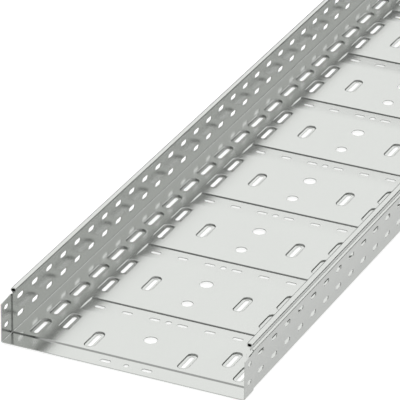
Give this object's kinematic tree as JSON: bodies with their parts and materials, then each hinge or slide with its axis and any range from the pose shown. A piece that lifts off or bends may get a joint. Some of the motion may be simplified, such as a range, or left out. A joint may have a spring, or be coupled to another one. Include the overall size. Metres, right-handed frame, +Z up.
{
  "type": "perforated cable tray",
  "caption": "Open channel of one pressed and perforated sheet for carrying cables, with hooked rims, cross ribs, drawn slots and an outset coupling end.",
  "frame": {"origin": "middle of the tray's length and width, on the plane that it lies on", "axes": "+X across the tray, +Y along it from the coupling end to the plain end, +Z up out of the open side"},
  "size_m": [0.407, 2, 0.0825],
  "materials": {
    "galvanised_sheet": "satin galvanised sheet, pale grey with a soft shine"
  },
  "bodies": {
    "root": {"cable_tray": "galvanised_sheet"}
  },
  "joints": []
}
